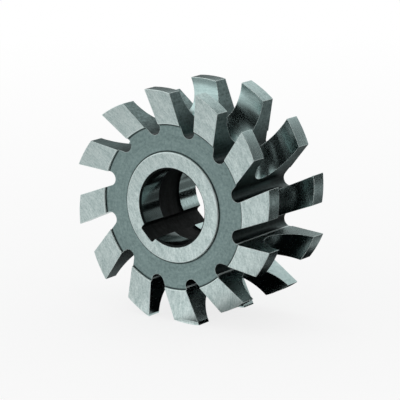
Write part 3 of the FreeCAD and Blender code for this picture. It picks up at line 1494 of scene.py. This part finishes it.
@dataclass
class Studio:
    """Pale table, white surroundings, soft lamps, and black sheets for the steel to mirror.

    Attributes:
        table_level: Height of the table's top.
        table_half: Half the table's side.
        table_white: Share of plain white that a look at the table gets, which keeps its shadow faint.
        table_fade: Distances between which the table turns as white as the room.
        room_level: Brightness of the surroundings for light that spreads.
        arch_radius: Distance of the hung sheets from the bore's axis.
        front_distance: Distance of the sheets that stand in front of the cutter.
    """

    table_level: float
    table_half: float = 4.0
    table_white: float = 0.8
    table_fade: tuple[float, float] = (0.15, 0.9)
    room_level: float = 0.72
    arch_radius: float = 0.35
    front_distance: float = 0.5

    def backdrop_share(self, bench: NodeBench) -> bpy.types.NodeSocket:
        """Share that is 1 for rays from the camera, off metal and through glass."""
        path = bench.node("ShaderNodeLightPath").outputs
        seen = bench.math("MAXIMUM", path["Is Camera Ray"], path["Is Glossy Ray"])
        return bench.math("MAXIMUM", seen, path["Is Transmission Ray"])

    def room(self) -> None:
        """Makes the surroundings: a white backdrop, and a little less light on what it lights."""
        world = bpy.data.worlds.new("white_room")
        world.use_nodes = True
        world.node_tree.nodes.clear()
        bench = NodeBench(world.node_tree)
        white = bench.node("ShaderNodeBackground")
        share = self.backdrop_share(bench)
        bench.feed(white.inputs["Strength"], bench.ranged(share, 0.0, 1.0, self.room_level, 1.0))
        white.inputs["Color"].default_value = (1, 1, 1, 1)
        target = bench.node("ShaderNodeOutputWorld")
        bench.feed(target.inputs["Surface"], white.outputs[0])
        bpy.context.scene.world = world

    def table(self) -> bpy.types.Object:
        """Makes the table under the cutter."""
        half = self.table_half
        corners = [(-half, -half), (half, -half), (half, half), (-half, half)]
        mesh = bpy.data.meshes.new("table")
        mesh.from_pydata([(x, y, self.table_level) for x, y in corners], [], [(0, 1, 2, 3)])
        made, bench = blank_material("pale_table")
        paper = bench.node("ShaderNodeBsdfDiffuse")
        paper.inputs["Color"].default_value = (0.9, 0.9, 0.9, 1)
        white = bench.node("ShaderNodeEmission")
        away = bench.node("ShaderNodeVectorMath", operation="LENGTH")
        bench.feed(away.inputs[0], bench.node("ShaderNodeTexCoord").outputs["Object"])
        white_share = bench.ranged(away.outputs["Value"], *self.table_fade, self.table_white, 1.0)
        share = bench.math("MULTIPLY", self.backdrop_share(bench), white_share)
        target = bench.node("ShaderNodeOutputMaterial")
        blend = bench.mix_shaders(share, paper.outputs[0], white.outputs[0])
        bench.feed(target.inputs["Surface"], blend)
        mesh.materials.append(made)
        table = placed("table", mesh)
        return table

    def laid(self, lift: float) -> Callable[[float, float], Point]:
        """Gives the places of a sheet that lies on the table.

        Args:
            lift: Its height over the table.

        Returns:
            Function from x and y to the place.
        """
        return lambda x, y: (x, y, self.table_level + lift)

    def hung(self, lift: float) -> Callable[[float, float], Point]:
        """Gives the places of a sheet that arches over the cutter from its right.

        Args:
            lift: Its distance outside the arch.

        Returns:
            Function from the turn about the bore's axis and the place along it to the place.
        """
        radius = self.arch_radius + lift
        return lambda turn, y: (radius * math.cos(turn), y, radius * math.sin(turn))

    def upright(self, x: float, level: float) -> Point:
        """Place on a sheet that stands in front of the cutter, at an x and a height."""
        return (x, -self.front_distance, level)

    def laid_sheets(self) -> list[BlackSheet]:
        """Black sheets that lie on the table.

        Returns:
            The sheets. A row gives a sheet's name, its reach along X and along Y, its height over
            the table in millimetres, and its cover.
        """
        front = -self.front_distance
        rows = (
            ("under_left", Span(-0.09, 0.066, 0.055, 0.014), Span(-0.029, 0.107, 0.01, 0.012), 1, 1.0),
            ("under_right", Span(0.06, 0.17, 0.014, 0.03), Span(-0.029, 0.107, 0.01, 0.012), 1, 1.0),
            ("under_bridge", Span(0.045, 0.08), Span(0.036, 0.067, 0.008, 0.008), 4, 1.0),
            ("under_front", Span(0.045, 0.08), Span(-0.029, 0.02, 0.01, 0.004), 4, 1.0),
            ("under_slit", Span(0.045, 0.08), Span(0.016, 0.042, 0.004, 0.004), 5, 0.74),
            ("near_sheet", Span(-0.2, 0.0, 0.06, 0.05), Span(-0.12, -0.03, 0.03, 0.01), 1, 0.3),
            ("left_near", Span(-0.17, -0.06, 0.04, 0.02), Span(-0.16, -0.07, 0.03, 0.03), 2, 0.3),
            ("right_near", Span(0.001, 0.17, 0.014, 0.03), Span(-0.13, 0.0, 0.0, 0.01), 2, 1.0),
            ("right_front", Span(0.02, 0.355, 0.025, 0.0), Span(front, -0.1, 0.0, 0.03), 3, 1.0),
            ("right_far", Span(0.13, 0.355, 0.03, 0.0), Span(-0.13, 0.16), 3, 1.0),
            ("rear_far", Span(0.14, 0.355, 0.04, 0.0), Span(0.268, 0.6, 0.02, 0.1), 1, 1.0),
            ("rear_middle", Span(0.19, 0.355, 0.04, 0.0), Span(0.15, 0.262), 3, 0.5),
            ("rear_under", Span(0.03, 0.22, 0.02, 0.05), Span(0.096, 0.28, 0.012, 0.05), 2, 0.84),
            ("rear_foot", Span(-0.05, 0.05, 0.03, 0.025), Span(0.095, 0.24, 0.012, 0.06), 3, 0.95),
            ("front_floor", Span(-0.045, 0.05, 0.025, 0.025), Span(front, -0.14, 0.0, 0.02), 2, 1.0),
            ("left_sheet", Span(-1.0, -0.12, 0.1, 0.12), Span(-1.0, 0.05, 0.1, 0.1), 1, 0.4),
        )
        return [
            BlackSheet(name, x, y, self.laid(lift * MILLIMETRE), cover) for name, x, y, lift, cover in rows
        ]

    def upright_sheets(self) -> list[BlackSheet]:
        """Black sheets that stand in front of the cutter, each by its reach along X and Z."""
        level = self.table_level
        rows = (
            ("front_sheet", Span(-0.2, 0.37, 0.1, 0.0), Span(level, 0.27, 0.0, 0.1), 0.96),
            ("front_high", Span(-0.06, 0.37, 0.1, 0.0), Span(0.17, 0.7, 0.1, 0.1), 1.0),
            ("front_left", Span(-0.64, -0.28, 0.1, 0.06), Span(level, 0.2, 0.0, 0.08), 0.5),
        )
        return [BlackSheet(name, x, z, self.upright, cover) for name, x, z, cover in rows]

    def hung_sheets(self) -> list[BlackSheet]:
        """Black sheets that arch over the cutter, with light gaps between them.

        Returns:
            The sheets. A row gives a sheet's name, its reach round the bore's axis and along Y, its
            distance outside the arch in millimetres, its cover, and its faces between the fades.
        """
        foot = math.asin(self.table_level / self.arch_radius) / DEGREE
        front = -self.front_distance
        rows = (
            ("side_foot", arc(foot, -4, 0, 2), Span(-0.12, 0.13), 0, 1.0, 1),
            ("low_side", arc(foot, 17, 0, 4), Span(front, -0.045, 0.0, 0.02), 0, 1.0, 4),
            ("low_middle", arc(foot, 17, 0, 4), Span(0.065, 0.26, 0.02, 0.12), 0, 1.0, 4),
            ("side_slit", arc(6, 37, 3, 4), Span(-0.12, 0.16, 0.02, 0.02), 3, 1.0, 4),
            ("front_side", arc(12, 36, 3, 3), Span(front, -0.1, 0.0, 0.05), 1, 1.0, 4),
            ("canopy", arc(55, 112, 6, 16), Span(-0.27, 0.26, 0.08, 0.12), 0, 1.0, 10),
            ("canopy_foot", arc(31, 50, 4, 5), Span(-0.27, 0.26, 0.08, 0.12), 2, 1.0, 6),
            ("canopy_front", arc(44, 76, 4, 6), Span(-0.27, -0.07, 0.08, 0.05), 5, 1.0, 6),
            ("canopy_rear", arc(56, 88, 6, 8), Span(0.08, 0.41, 0.04, 0.08), 5, 1.0, 6),
            ("front_canopy", arc(31, 84, 4, 16), Span(front, -0.19, 0.0, 0.05), 4, 1.0, 8),
            ("window_jamb", arc(3, 37, 3, 4), Span(0.14, 0.478, 0.02, 0.015), 4, 0.93, 4),
            ("low_rear", arc(foot, 9, 0, 3), Span(0.14, 0.8, 0.1, 0.2), 2, 1.0, 4),
            ("rear_sheet", arc(29, 58, 8, 17), Span(0.14, 0.8, 0.1, 0.2), 2, 0.68, 8),
            ("left_rear", arc(120, 180 - foot, 14, 0), Span(0.14, 0.8, 0.1, 0.2), 2, 0.85, 10),
        )
        return [
            BlackSheet(name, turn, y, self.hung(lift * MILLIMETRE), cover, steps)
            for name, turn, y, lift, cover, steps in rows
        ]

    def build(self) -> None:
        """Sets the whole studio up."""
        self.room()
        self.table()
        for sheet in (*self.laid_sheets(), *self.upright_sheets(), *self.hung_sheets()):
            sheet.build()
        for lamp in (
            SoftLamp("left_lamp", (-0.7, -0.9, 0.7), 0.9, 0.8),
            SoftLamp("top_lamp", (-0.5, 0.3, 1.0), 0.7, 1.0),
        ):
            lamp.build()


def main() -> None:
    """Builds the cutter and the studio, and reports each piece."""
    logging.basicConfig(level=logging.INFO, format="%(name)s: %(message)s")
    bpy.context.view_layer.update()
    lowest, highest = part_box("cutter")
    sizes = CutterSizes(half_width=highest.y)
    cutter = MillingCutter(sizes).build()
    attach(cutter, "root")
    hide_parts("cutter")
    LOG.info("%s: %d faces before its edge breaks", cutter.name, len(cutter.data.polygons))
    Studio(table_level=lowest.z).build()
    camera = Camera().build(Vector((0, -sizes.half_width, 0)))
    LOG.info("%s: %.1f mm lens", camera.name, camera.data.lens)
    bpy.context.scene.view_settings.view_transform = "Standard"


if __name__ == "__main__":
    main()
